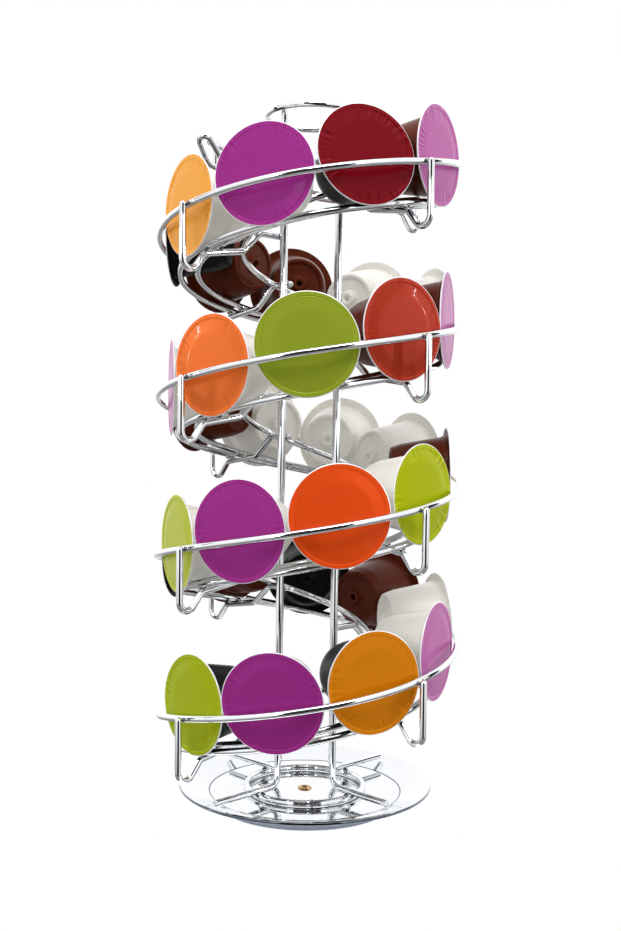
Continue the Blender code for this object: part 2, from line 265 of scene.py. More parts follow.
class WireForm:
    """A round wire that is bent section by section, as on a wire former.

    A circular section is extruded and turned from station to station along a route.
    """

    def __init__(self, radius: float, sides: int = 20) -> None:
        """Start an empty wire.

        Args:
            radius: The wire's radius.
            sides: The number of facets round it.
        """
        self.bm = bmesh.new()
        self.radius = radius
        self.sides = sides
        self.first: list[bmesh.types.BMEdge] = []
        self.section: list[bmesh.types.BMEdge] = []

    def start(self, place: Vector, heading: Vector) -> None:
        """Make the first section.

        Args:
            place: Its centre.
            heading: The way the wire leaves it.
        """
        pose = Matrix.Translation(place) @ heading.to_track_quat("Z", "Y").to_matrix().to_4x4()
        made = bmesh.ops.create_circle(
            self.bm, cap_ends=False, segments=self.sides, radius=self.radius, matrix=pose
        )
        ring = set(made["verts"])
        self.section = [edge for edge in self.bm.edges if set(edge.verts) <= ring]
        self.first = list(self.section)

    def advance(self, move: Matrix) -> None:
        """Extrude the last section and carry it on.

        Args:
            move: The turn and shift from the last station to the next.
        """
        made = bmesh.ops.extrude_edge_only(self.bm, edges=self.section)["geom"]
        verts = [item for item in made if isinstance(item, bmesh.types.BMVert)]
        ring = set(verts)
        bmesh.ops.transform(self.bm, matrix=move, verts=verts)
        linked = {edge for vert in verts for edge in vert.link_edges}
        self.section = [edge for edge in linked if set(edge.verts) <= ring]

    def follow(self, points: Sequence[Vector], loop: bool = False) -> None:
        """Run the wire through these points.

        Args:
            points: The centres of its sections.
            loop: Whether the last point leads on to the first.
        """
        count = len(points)
        headings = []
        for index in range(count):
            before = points[index - 1] if index or loop else points[index]
            after = points[(index + 1) % count] if index + 1 < count or loop else points[index]
            headings.append((after - before).normalized())
        self.start(points[0], headings[0])
        for index in range(1, count):
            turn = headings[index - 1].rotation_difference(headings[index]).to_matrix().to_4x4()
            here = Matrix.Translation(-points[index - 1])
            self.advance(Matrix.Translation(points[index]) @ turn @ here)
        if loop:
            bmesh.ops.bridge_loops(self.bm, edges=[*self.section, *self.first])

    def cap(self, rounding: float = 0.55) -> None:
        """Close both ends and round their rims.

        Args:
            rounding: The rims' rounding as a share of the wire's radius.
        """
        rims = [*self.first, *self.section]
        bmesh.ops.holes_fill(self.bm, edges=rims, sides=0)
        bmesh.ops.bevel(
            self.bm,
            geom=rims,
            offset=self.radius * rounding,
            offset_type="OFFSET",
            segments=4,
            profile=0.5,
            affect="EDGES",
            clamp_overlap=True,
            material=-1,
        )


class Cup(Enum):
    """The colours that the capsules' cups are moulded in."""

    WHITE = "#E6E3DC"
    BLACK = "#0B0A0A"
    BROWN = "#622A18"


class Lid(Enum):
    """The lacquer colours of the lids, with the record's slot that each belongs to."""

    GREEN = ("#A0AD14", "lid_green")
    LIME = ("#ABB402", "lid_lime")
    OLIVE = ("#91A02B", "lid_green")
    PURPLE = ("#982C83", "lid_purple")
    AMBER = ("#CB7703", "lid_amber")
    PINK = ("#B25D9D", "lid_pink")
    ROSE = ("#C98A96", "lid_pink")
    CREAM = ("#D9CDB4", "lid_cream")
    ORANGE_RED = ("#E34D17", "lid_orange_red")
    ORANGE = ("#F0A33A", "lid_orange")
    SALMON = ("#E26C29", "lid_salmon")
    RED = ("#9F2B13", "lid_red")
    DARK_RED = ("#730212", "lid_dark_red")


@dataclass(frozen=True)
class ChromePlate:
    """Bright chrome plate over steel wire.

    Electroplated and buffed, so it mirrors the studio sharply, with a faint cold tint and barely
    visible polishing marks that break up the longest reflections. Real marks are much finer than
    mark_size and wouldn't show in a render. Between the marks the roughness swings from glossiest
    to dullest, which are shares of it, here as in the other finishes.
    """

    name: str = "bright_chrome_plate"
    colour: str = "#E9EAEC"
    shade: str = "#DDE0E4"
    roughness: float = 0.045
    dullest: float = 1.5
    glossiest: float = 0.7
    mark_size: float = 2.5 * MM
    mark_range: tuple[float, float] = (0.3, 0.7)

    def material(self) -> bpy.types.Material:
        """Build the finish.

        Returns:
            The new material.
        """
        material, shader = new_surface(self.name, Metallic=1.0)
        tree = material.node_tree
        place = add_node(tree, "ShaderNodeTexCoord").outputs["Object"]
        marks = add_node(
            tree, "ShaderNodeTexNoise", {"Vector": place, "Scale": 1 / self.mark_size, "Detail": 3.0}
        )
        tint = add_node(
            tree,
            "ShaderNodeMix",
            {"Factor": marks.outputs["Fac"], 6: linear(self.colour), 7: linear(self.shade)},
            data_type="RGBA",
        )
        polish = add_node(
            tree,
            "ShaderNodeMapRange",
            {
                "Value": marks.outputs["Fac"],
                "From Min": self.mark_range[0],
                "From Max": self.mark_range[1],
                "To Min": self.roughness * self.glossiest,
                "To Max": self.roughness * self.dullest,
            },
        )
        tree.links.new(tint.outputs[2], shader.inputs["Base Color"])
        tree.links.new(polish.outputs[0], shader.inputs["Roughness"])
        return material


@dataclass(frozen=True)
class SpunSheet:
    """Mirror-polished sheet of the turntable's dish.

    Spun and buffed on the lathe, so fine rings run round it, and a little dust and wiping show as duller
    patches. The rings are drawn coarser than real ones, which wouldn't show in a render. A dark line of
    painted shade, standing in for the shade and dark reflections in the crease at the foot of the flange and
    at the outer edge of the rolled bead, is mixed into the colour there.
    """

    bend_radius: float
    rim_radius: float
    name: str = "polished_spun_steel"
    colour: str = "#E8EAEC"
    shade: str = "#DFE1E4"
    roughness: float = 0.05
    dullest: float = 2.2
    glossiest: float = 0.6
    patch_size: float = 16.7 * MM
    patch_range: tuple[float, float] = (0.35, 0.7)
    ring_pitch: float = 2.2 * MM
    ring_relief: float = 0.02 * MM
    ring_strength: float = 0.03
    ring_waviness: float = 0.4
    # Painted shade line: its colour, and the half widths of its solid core and its soft edge.
    shade_line_colour: str = "#646A74"
    shade_line_core: float = 0.25 * MM
    shade_line_edge: float = 0.546 * MM

    def material(self) -> bpy.types.Material:
        """Build the finish.

        Returns:
            The new material.
        """
        material, shader = new_surface(self.name, Metallic=1.0)
        tree = material.node_tree
        place = add_node(tree, "ShaderNodeTexCoord").outputs["Object"]
        rings = add_node(
            tree,
            "ShaderNodeTexWave",
            {
                "Vector": place,
                "Scale": 2 * pi / (WAVE_PACE * self.ring_pitch),
                "Distortion": self.ring_waviness,
            },
            wave_type="RINGS",
            rings_direction="Z",
        )
        wiped = add_node(
            tree, "ShaderNodeTexNoise", {"Vector": place, "Scale": 1 / self.patch_size, "Detail": 6.0}
        )
        polish = add_node(
            tree,
            "ShaderNodeMapRange",
            {
                "Value": wiped.outputs["Fac"],
                "From Min": self.patch_range[0],
                "From Max": self.patch_range[1],
                "To Min": self.roughness * self.glossiest,
                "To Max": self.roughness * self.dullest,
            },
        )
        tint = add_node(
            tree,
            "ShaderNodeMix",
            {"Factor": wiped.outputs["Fac"], 6: linear(self.colour), 7: linear(self.shade)},
            data_type="RGBA",
        )
        flat = add_node(tree, "ShaderNodeVectorMath", {0: place, 1: (1.0, 1.0, 0.0)}, operation="MULTIPLY")
        radius = add_node(tree, "ShaderNodeVectorMath", {0: flat.outputs[0]}, operation="LENGTH")
        shade_lined = tint.outputs[2]
        # Painted shade: a dark line mixed into the colour at the flange's crease and the bead's outer edge.
        for ring_radius in (self.bend_radius, self.rim_radius):
            off = add_node(
                tree, "ShaderNodeMath", {0: radius.outputs["Value"], 1: ring_radius}, operation="SUBTRACT"
            )
            far = add_node(tree, "ShaderNodeMath", {0: off.outputs[0]}, operation="ABSOLUTE")
            line = add_node(
                tree,
                "ShaderNodeMapRange",
                {"Value": far.outputs[0], "From Min": self.shade_line_edge, "From Max": self.shade_line_core},
            )
            shade_lined = add_node(
                tree,
                "ShaderNodeMix",
                {"Factor": line.outputs[0], 6: shade_lined, 7: linear(self.shade_line_colour)},
                data_type="RGBA",
            ).outputs[2]
        relief = add_node(
            tree,
            "ShaderNodeBump",
            {
                "Strength": self.ring_strength,
                "Distance": self.ring_relief,
                "Height": rings.outputs["Fac"],
            },
        )
        tree.links.new(shade_lined, shader.inputs["Base Color"])
        tree.links.new(polish.outputs[0], shader.inputs["Roughness"])
        tree.links.new(relief.outputs[0], shader.inputs["Normal"])
        return material


@dataclass(frozen=True)
class PlainFinish:
    """A moulded, painted or metal finish with a fine, even grain of its own.

    The grain varies the gloss and the relief, and wider clouds drift between colour and shade. A thin pale
    plastic also lets light in, and glow is painted light: emission that the surface gives off though it is
    no lamp, standing for what the plastic's wall passes on.
    thin pale plastic also lets light in, and glow stands for what its wall passes on.
    """

    name: str
    colour: str
    shade: str
    roughness: float
    metallic: float = 0.0
    grain: float = 0.6 * MM
    grain_range: tuple[float, float] = (0.3, 0.7)
    dullest: float = 1.2
    glossiest: float = 0.85
    relief: float = 0.01 * MM
    relief_strength: float = 0.5
    cloud_size: float = 22.2 * MM
    ior: float = 1.5
    subsurface: float = 0.0
    subsurface_depths: tuple[float, float, float] = (2.0 * MM, 2.0 * MM, 1.5 * MM)
    glow: float = 0.0

    def material(self) -> bpy.types.Material:
        """Build the finish.

        Returns:
            The new material.
        """
        material, shader = new_surface(self.name, Metallic=self.metallic)
        if not self.metallic:
            shader.inputs["IOR"].default_value = self.ior
        if self.subsurface:
            shader.inputs["Subsurface Weight"].default_value = self.subsurface
            shader.inputs["Subsurface Radius"].default_value = self.subsurface_depths
            shader.inputs["Subsurface Scale"].default_value = 1.0
        # Painted light: emission that makes the surface glow though it is no lamp.
        if self.glow:
            shader.inputs["Emission Color"].default_value = linear(self.colour)
            shader.inputs["Emission Strength"].default_value = self.glow
        tree = material.node_tree
        place = add_node(tree, "ShaderNodeTexCoord").outputs["Object"]
        grain = add_node(
            tree, "ShaderNodeTexNoise", {"Vector": place, "Scale": 1 / self.grain, "Detail": 4.0}
        )
        cloud = add_node(
            tree, "ShaderNodeTexNoise", {"Vector": place, "Scale": 1 / self.cloud_size, "Detail": 2.0}
        )
        tint = add_node(
            tree,
            "ShaderNodeMix",
            {"Factor": cloud.outputs["Fac"], 6: linear(self.colour), 7: linear(self.shade)},
            data_type="RGBA",
        )
        gloss = add_node(
            tree,
            "ShaderNodeMapRange",
            {
                "Value": grain.outputs["Fac"],
                "From Min": self.grain_range[0],
                "From Max": self.grain_range[1],
                "To Min": self.roughness * self.glossiest,
                "To Max": self.roughness * self.dullest,
            },
        )
        relief = add_node(
            tree,
            "ShaderNodeBump",
            {
                "Strength": self.relief_strength,
                "Distance": self.relief,
                "Height": grain.outputs["Fac"],
            },
        )
        tree.links.new(tint.outputs[2], shader.inputs["Base Color"])
        tree.links.new(gloss.outputs[0], shader.inputs["Roughness"])
        tree.links.new(relief.outputs[0], shader.inputs["Normal"])
        return material


@dataclass(frozen=True)
class FoilLid:
    """Lacquered aluminium foil, heat-sealed to the cup's flange.

    The lacquer is glossy and deep in colour. On the ring that the sealing tool pressed flat its colour is
    lifted a little, a painted sheen. Inside the ring the foil gathers in patches of short radial pleats,
    which catch the light, and the disc within buckles in wide soft waves. The pattern reads the lid's own UV
    map, which holds the distance from its middle in metres. The pleats go by the direction from the middle,
    as a point on a circle, and the scales tell how closely they follow each other.
    """

    colour: str
    seal_radius: float
    wrinkles: float = 1.0
    least_gathered: float = 0.25
    metallic: float = 0.12
    specular: float = 0.05
    coat: float = 0.12
    coat_roughness: float = 0.05
    coat_ior: float = 1.35
    roughness: float = 0.3
    dullest: float = 1.2
    glossiest: float = 0.8
    pleat_reach: float = 6.0 * MM
    pleat_off_seal: float = 1.5 * MM
    pleat_height: float = 1.8 * MM
    pleat_strength: float = 0.9
    circle_radius: float = 5.0
    pleat_scale: float = 2.0
    patch_scale: float = 0.4
    patch_range: tuple[float, float] = (0.42, 0.6)
    seal_blend: float = 0.25 * MM
    seal_sink: float = 0.1
    # Painted sheen: the pressed ring's colour is lifted by this factor.
    seal_shine: float = 1.08
    buckle_size: float = 16.7 * MM
    buckle_height: float = 0.35 * MM
    buckle_strength: float = 0.25

    def material(self, name: str, seed: float) -> bpy.types.Material:
        """Build the finish.

        Args:
            name: The material's name.
            seed: A number that gives this lid wrinkles of its own.

        Returns:
            The new material.
        """
        material, shader = new_surface(
            name,
            Metallic=self.metallic,
            Specular_IOR_Level=self.specular,
            Coat_Weight=self.coat,
            Coat_Roughness=self.coat_roughness,
            Coat_IOR=self.coat_ior,
        )
        tree = material.node_tree
        flat = add_node(tree, "ShaderNodeTexCoord").outputs["UV"]
        distance = add_node(tree, "ShaderNodeVectorMath", {0: flat}, operation="LENGTH").outputs["Value"]
        spoke = add_node(tree, "ShaderNodeVectorMath", {0: flat}, operation="NORMALIZE").outputs[0]
        around = add_node(
            tree,
            "ShaderNodeMapping",
            {
                "Vector": spoke,
                "Location": (0.0, 0.0, seed),
                "Scale": (self.circle_radius, self.circle_radius, 1.0),
            },
        ).outputs[0]
        puckers = add_node(
            tree,
            "ShaderNodeTexNoise",
            {"Vector": around, "Scale": self.pleat_scale, "Detail": 1.5},
        )
        centred = add_node(tree, "ShaderNodeMath", {0: puckers.outputs["Fac"], 1: 0.5}, operation="SUBTRACT")
        patches = add_node(
            tree, "ShaderNodeTexNoise", {"Vector": around, "Scale": self.patch_scale, "Detail": 0.0}
        )
        gathered = add_node(
            tree,
            "ShaderNodeMapRange",
            {
                "Value": patches.outputs["Fac"],
                "From Min": self.patch_range[0],
                "From Max": self.patch_range[1],
                "To Min": self.wrinkles * self.least_gathered,
                "To Max": self.wrinkles,
            },
        )
        inside = add_node(
            tree,
            "ShaderNodeMapRange",
            {
                "Value": distance,
                "From Min": self.seal_radius - self.pleat_reach,
                "From Max": self.seal_radius - self.pleat_off_seal,
            },
            interpolation_type="SMOOTHSTEP",
        )
        pressed = add_node(
            tree,
            "ShaderNodeMapRange",
            {
                "Value": distance,
                "From Min": self.seal_radius - self.seal_blend,
                "From Max": self.seal_radius + self.seal_blend,
            },
            interpolation_type="SMOOTHSTEP",
        )
        creased = add_node(
            tree, "ShaderNodeMath", {0: centred.outputs[0], 1: inside.outputs[0]}, operation="MULTIPLY"
        )
        creased = add_node(
            tree, "ShaderNodeMath", {0: creased.outputs[0], 1: gathered.outputs[0]}, operation="MULTIPLY"
        )
        height = add_node(
            tree,
            "ShaderNodeMath",
            {0: pressed.outputs[0], 1: -self.seal_sink, 2: creased.outputs[0]},
            operation="MULTIPLY_ADD",
        )
        waves = add_node(
            tree,
            "ShaderNodeTexNoise",
            {"Vector": flat, "Scale": 1 / self.buckle_size, "Detail": 1.0},
            noise_dimensions="2D",
        )
        gentle = add_node(
            tree,
            "ShaderNodeBump",
            {
                "Strength": self.buckle_strength,
                "Distance": self.buckle_height,
                "Height": waves.outputs["Fac"],
            },
        )
        relief = add_node(
            tree,
            "ShaderNodeBump",
            {
                "Strength": self.pleat_strength,
                "Distance": self.pleat_height,
                "Height": height.outputs[0],
                "Normal": gentle.outputs[0],
            },
        )
        # Painted sheen: a lighter copy of the colour for the pressed ring.
        bright = tuple(min(self.seal_shine * value, 1.0) for value in linear(self.colour)[:3]) + (1.0,)
        tint = add_node(
            tree,
            "ShaderNodeMix",
            {"Factor": pressed.outputs[0], 6: linear(self.colour), 7: bright},
            data_type="RGBA",
        )
        gloss = add_node(
            tree,
            "ShaderNodeMapRange",
            {
                "Value": waves.outputs["Fac"],
                "To Min": self.roughness * self.glossiest,
                "To Max": self.roughness * self.dullest,
            },
        )
        tree.links.new(tint.outputs[2], shader.inputs["Base Color"])
        tree.links.new(gloss.outputs[0], shader.inputs["Roughness"])
        tree.links.new(relief.outputs[0], shader.inputs["Normal"])
        return material


@dataclass(frozen=True)
class Track:
    """Sizes of the wire track, shared by all that lies on it or is welded to it."""

    seat_gap: float = 0.3 * MM
    wire: float = 1.9 * MM
    top_ring_wire: float = 1.7 * MM
    turn_rise: float = 92.0 * MM
    end_turn_rise: float = 78.0 * MM
    end_stretch_angle: float = 1150.0
    guard_height: float = 74.7 * MM
    rod_radius: float = 22.6 * MM
    back_rail_off_rods: float = 17.6 * MM
    nozzle_off_back_rail: float = 5.3 * MM
    lid_off_guard: float = 0.6 * MM
    lid_radius: float = 27.0 * MM
    capsule_depth: float = 36.0 * MM
    axis_over_guard: float = 5.2 * MM
    cup_mouth_radius: float = 23.3 * MM
    cup_shoulder_radius: float = 18.5 * MM
    cup_shoulder_depth: float = 27.5 * MM
    flange: float = 1.2 * MM
    floor_rail_depths: tuple[float, float] = (5.0 * MM, 15.5 * MM)
    first_bracket: float = -45.0
    bracket_step: float = 90.0
    arm_below_guard: float = 7.2 * MM
    arm_bend_radius: float = 37.0 * MM
    leg_foot_radius: float = 50.3 * MM

    @property
    def wire_on_wire(self) -> float:
        """Distance between the middles of two wires that touch."""
        return 2 * self.wire + self.seat_gap

    @property
    def back_radius(self) -> float:
        """Radius of the back rail."""
        return self.rod_radius + self.back_rail_off_rods

    @property
    def lid_face_radius(self) -> float:
        """Distance of the lids' faces from the axis."""
        return self.back_radius + self.nozzle_off_back_rail + self.capsule_depth

    @property
    def guard_radius(self) -> float:
        """Radius of the guard rail, just outside the lids' edges."""
        return hypot(self.lid_face_radius, self.lid_radius) + self.wire + self.lid_off_guard

    @property
    def upright_radius(self) -> float:
        """Radius at which the brackets' uprights stand, outside the guard rail."""
        return self.guard_radius + self.wire_on_wire

    def around(self, radius: float, angle: float, height: float) -> Vector:
        """The point at this radius and height, at an azimuth in degrees."""
        turned = radians(angle)
        return Vector((radius * sin(turned), -radius * cos(turned), height))

    def guard_at(self, angle: float) -> float:
        """Height of the guard rail at this angle.

        Args:
            angle: An azimuth.

        Returns:
            The height of the middle of its wire.
        """
        even = min(angle, self.end_stretch_angle) / 360
        free = max(angle - self.end_stretch_angle, 0.0) / 360
        return self.guard_height + self.turn_rise * even + self.end_turn_rise * free

    def steepness(self, radius: float) -> float:
        """Rise over run of a wire that climbs the track at this radius."""
        return self.turn_rise / (2 * pi * radius)

    def crossing(self, rod_angle: float, radius: float) -> float:
        """Azimuth at which a bracket beside its rod reaches this radius."""
        return rod_angle - degrees(asin(self.wire_on_wire / radius))

    def floor_over_guard(self, radius: float) -> float:
        """Height over the guard rail of a floor rail that carries the cups at this radius.

        Args:
            radius: The floor rail's radius.

        Returns:
            The height of its middle, which is negative.
        """
        depth = self.lid_face_radius - radius
        share = (depth - self.flange) / (self.cup_shoulder_depth - self.flange)
        cup = self.cup_mouth_radius + (self.cup_shoulder_radius - self.cup_mouth_radius) * share
        seat = (cup + self.wire + self.seat_gap) * hypot(1.0, self.steepness(radius))
        return self.axis_over_guard - seat

    def bench_over_guard(self, radius: float) -> float:
        """Height over the guard rail of the brackets' bench under both floor rails.

        Args:
            radius: A radius on the straight bench.

        Returns:
            The height of the middle of the bracket's wire there, which is negative.
        """
        outer, inner = (self.lid_face_radius - depth for depth in self.floor_rail_depths)
        seats = []
        for rail in (inner, outer):
            drop = self.wire_on_wire * hypot(1.0, self.steepness(rail))
            seats.append(self.floor_over_guard(rail) - drop)
        return seats[0] + (seats[1] - seats[0]) * (radius - inner) / (outer - inner)


@dataclass
class Welds:
    """The small beads where wires are welded, gathered into one piece.

    Resistance and spot welds squeeze a little metal out, which is plated with the rest.
    """

    bead: float = 0.95 * MM
    spots: list[tuple[Vector, Vector, float, float]] = field(default_factory=list)

    def add(self, place: Vector, along: Vector, size: float = 1.0, drawn: float = 1.6) -> None:
        """Note a bead.

        Args:
            place: Its middle.
            along: The way it is drawn out.
            size: Its width as a share of the usual bead.
            drawn: Its length as a share of its width.
        """
        self.spots.append((place, along.normalized(), size, drawn))

    def build(self, finish: bpy.types.Material) -> bpy.types.Object:
        """Build all beads as one mesh.

        Args:
            finish: Their material.

        Returns:
            The new piece.
        """
        bm = bmesh.new()
        for place, along, size, drawn in self.spots:
            turn = along.to_track_quat("Z", "Y").to_matrix().to_4x4()
            pose = Matrix.Translation(place) @ turn @ Matrix.Diagonal((1.0, 1.0, drawn, 1.0))
            bmesh.ops.create_icosphere(bm, subdivisions=2, radius=self.bead * size, matrix=pose)
        return finish_piece(bm, "weld_beads", [finish])


@dataclass
class Rails:
    """The guard rail, the back rail and the pair of floor rails bent from one wire."""

    track: Track
    finish: bpy.types.Material
    guard_angles: tuple[float, float] = (-69.0, 1309.0)
    back_angles: tuple[float, float] = (-55.0, 1303.0)
    floor_bends: tuple[float, float] = (-66.0, 1316.5)
    stop_angle: float = 13.0
    stop_rise: float = 9.0 * MM
    stop_width_share: float = 0.7
    stop_steps: int = 12
    lead_steps: int = 3
    soft_start: float = 0.12
    soft_stretch: float = 1 / 2.2
    step: float = 4.0

    def angles(self, ends: tuple[float, float]) -> list[float]:
        """Even small steps between two angles, in degrees."""
        count = ceil((ends[1] - ends[0]) / self.step)
        return [ends[0] + (ends[1] - ends[0]) * index / count for index in range(count + 1)]

    def back_over_guard(self) -> float:
        """Height of the back rail, which lies on the brackets' sloping legs.

        Returns:
            The height of its middle over the guard rail's.
        """
        track = self.track
        drop = track.bench_over_guard(track.leg_foot_radius) + track.arm_below_guard
        slope = drop / (track.leg_foot_radius - track.arm_bend_radius)
        leg = -track.arm_below_guard + slope * (track.back_radius - track.arm_bend_radius)
        return leg + track.wire_on_wire * hypot(1.0, track.steepness(track.back_radius), slope)

    def single(
        self, name: str, radius: float, over_guard: float, ends: tuple[float, float]
    ) -> bpy.types.Object:
        """Bend one rail that climbs at a constant radius.

        Args:
            name: The piece's name.
            radius: The rail's radius.
            over_guard: Its height over the guard rail.
            ends: The angles of its two ends.

        Returns:
            The new piece.
        """
        track = self.track
        wire = WireForm(track.wire)
        wire.follow(
            [track.around(radius, angle, track.guard_at(angle) + over_guard) for angle in self.angles(ends)]
        )
        wire.cap()
        return finish_piece(wire.bm, name, [self.finish])

    def floor(self) -> bpy.types.Object:
        """Bend the floor rails, which turn up into a hairpin at both ends to stop the capsules.

        Returns:
            The new piece.
        """
        track = self.track
        outer, inner = (track.lid_face_radius - depth for depth in track.floor_rail_depths)
        middle, half = (outer + inner) / 2, self.stop_width_share * (outer - inner) / 2
        lower, upper = self.floor_bends
        run = radians(self.stop_angle) * middle
        reach = degrees(half * run / hypot(run, self.stop_rise) / middle)
        points = []
        for bend, ahead, radius in ((upper, 1, outer), (lower, -1, inner)):
            angles = self.angles(self.floor_bends)
            for angle in angles if ahead > 0 else reversed(angles):
                height = track.guard_at(angle) + track.floor_over_guard(radius)
                points.append(track.around(radius, angle, height))
            for count in range(-self.lead_steps, self.stop_steps + self.lead_steps + 1):
                swing = pi * min(max(count, 0), self.stop_steps) / self.stop_steps
                along = self.stop_angle + reach * (sin(swing) - 1)
                wide = ahead * half * cos(swing)
                past = -count if count < 0 else count - self.stop_steps
                if past > 0:
                    share = past / (self.lead_steps + 1)
                    along = (self.stop_angle - reach) * (1 - share)
                    side = ahead * (1 if count < 0 else -1)
                    wide = side * (half + ((outer - inner) / 2 - half) * share)
                angle = bend + ahead * along
                place = middle + wide
                rise = self.stop_rise * self.eased(along / self.stop_angle)
                height = track.guard_at(angle) + track.floor_over_guard(place) + rise
                points.append(track.around(place, angle, height))
        wire = WireForm(track.wire)
        wire.follow(points, loop=True)
        return finish_piece(wire.bm, "floor_rails_bent", [self.finish])

    def eased(self, share: float) -> float:
        """How far up the hairpin is at this share of its length, with a soft start."""
        return share - self.soft_start * sin(pi * min(max(share / self.soft_stretch, 0.0), 1.0))

    def build(self) -> list[tuple[bpy.types.Object, str]]:
        """Build the rails.

        Returns:
            Each piece with the node that it stands for.
        """
        track = self.track
        guard = self.single("guard_rail_bent", track.guard_radius, 0.0, self.guard_angles)
        back = self.single("back_rail_bent", track.back_radius, self.back_over_guard(), self.back_angles)
        return [(guard, "guard_rail"), (back, "back_rail"), (self.floor(), "floor_rails")]


@dataclass
class Brackets:
    """The bent wires that carry the track, each welded to the side of a rod."""

    track: Track
    finish: bpy.types.Material
    welds: Welds
    count: int = 16
    arm_start_radius: float = 20.4 * MM
    bends: tuple[float, float, float] = (4.5 * MM, 5.5 * MM, 4.0 * MM)
    hook_run: float = 15.2 * MM
    hook_bottom: float = 33.8 * MM
    hook_bend: float = 5.2 * MM
    hook_steps: int = 14
    upright_over_guard: float = 1.2 * MM
    end_rounding: float = 0.8
    guard_bead_off_middle: float = 1.75 * MM
    guard_bead_drop: float = 0.2 * MM
    guard_bead_share: float = 0.52
    bead_off_middle: float = 1.4 * MM

    def corners(self, rod_angle: float) -> tuple[list[Vector], list[float]]:
        """The corners of one bracket and the radii of its bends.

        Args:
            rod_angle: The azimuth of the rod that it is welded to.

        Returns:
            Its corners with both ends, and a radius for each corner between them.
        """
        track = self.track
        bench_end = track.upright_radius - self.hook_run
        places = [
            (self.arm_start_radius, None),
            (track.arm_bend_radius, -track.arm_below_guard),
            (track.leg_foot_radius, track.bench_over_guard(track.leg_foot_radius)),
            (bench_end, track.bench_over_guard(bench_end)),
            *self.hook(bench_end),
            (track.upright_radius, self.upright_over_guard),
        ]
        points = []
        for radius, over in places:
            angle = track.crossing(rod_angle, radius)
            height = self.arm_height(rod_angle) if over is None else track.guard_at(angle) + over
            points.append(track.around(radius, angle, height))
        sharp = len(points) - 2 - len(self.bends)
        return points, [*self.bends, *([0.0] * sharp)]

    def arm_height(self, rod_angle: float) -> float:
        """Height of the arm that leaves the side of this rod."""
        track = self.track
        return track.guard_at(track.crossing(rod_angle, track.arm_bend_radius)) - track.arm_below_guard

    def hook(self, bench_end: float) -> Outline:
        """The hook's half-round bottom, which the bench's end runs into without a corner.

        Args:
            bench_end: The radius at which the bench ends.

        Returns:
            Points of a radius and a height over the guard rail each.
        """
        across = self.track.upright_radius - self.hook_bend
        up = self.hook_bend - self.hook_bottom
        out, over = across - bench_end, self.track.bench_over_guard(bench_end) - up
        touch = -90.0 - degrees(atan2(over, out)) - degrees(asin(self.hook_bend / hypot(out, over)))
        outline = []
        for index in range(self.hook_steps + 1):
            swing = radians(touch * (1 - index / self.hook_steps))
            outline.append((across + self.hook_bend * cos(swing), up + self.hook_bend * sin(swing)))
        return outline

    def build(self) -> list[tuple[bpy.types.Object, str]]:
        """Build the brackets.

        Returns:
            Each piece with the node that it stands for.
        """
        made = []
        track = self.track
        for index in range(self.count):
            rod_angle = track.first_bracket + track.bracket_step * index
            corners, radii = self.corners(rod_angle)
            wire = WireForm(track.wire)
            wire.follow(rounded(corners, radii))
            wire.cap(self.end_rounding)
            node = f"bracket_{index + 1:02d}"
            made.append((finish_piece(wire.bm, f"{node}_bent", [self.finish]), node))
            self.mark_welds(rod_angle)
        return made

    def mark_welds(self, rod_angle: float) -> None:
        """Note the welds at the guard rail, the floor rails and the rod.

        Args:
            rod_angle: The azimuth of the bracket's rod.
        """
        track = self.track
        up = Vector((0.0, 0.0, 1.0))
        outside = track.crossing(rod_angle, track.upright_radius)
        between = track.guard_radius + track.wire_on_wire * self.guard_bead_share
        for side in (-1, 1):
            angle = outside + side * degrees(self.guard_bead_off_middle / between)
            place = track.around(between, angle, track.guard_at(angle) - self.guard_bead_drop)
            self.welds.add(place, up, size=0.9)
        for depth in track.floor_rail_depths:
            radius = track.lid_face_radius - depth
            angle = track.crossing(rod_angle, radius)
            height = track.guard_at(angle) + track.floor_over_guard(radius) - track.wire
            along = track.around(1.0, angle + 90.0, 0.0)
            for side in (-1, 1):
                place = track.around(radius, angle, height) + along * side * self.bead_off_middle
                self.welds.add(place, along, size=0.7)
        level = self.arm_height(rod_angle)
        rod = track.around(track.rod_radius, rod_angle, level)
        arm = track.around(track.rod_radius, track.crossing(rod_angle, track.rod_radius), level)
        for side in (-1, 1):
            self.welds.add((rod + arm) / 2 + up * side * self.bead_off_middle, up, size=0.8)


@dataclass(frozen=True)
class DishForm:
    """Sizes of the turntable's dish, which the rack's feet stand on."""

    under: float = 5.7 * MM
    sheet: float = 1.0 * MM
    flat_radius: float = 56.5 * MM
    rim_radius: float = 73.3 * MM
    rim_rise: float = 5.5 * MM
    bead: float = 1.2 * MM
    hole: float = 3.4 * MM

    @property
    def face(self) -> float:
        """Height of the dish's flat middle."""
        return self.under + self.sheet


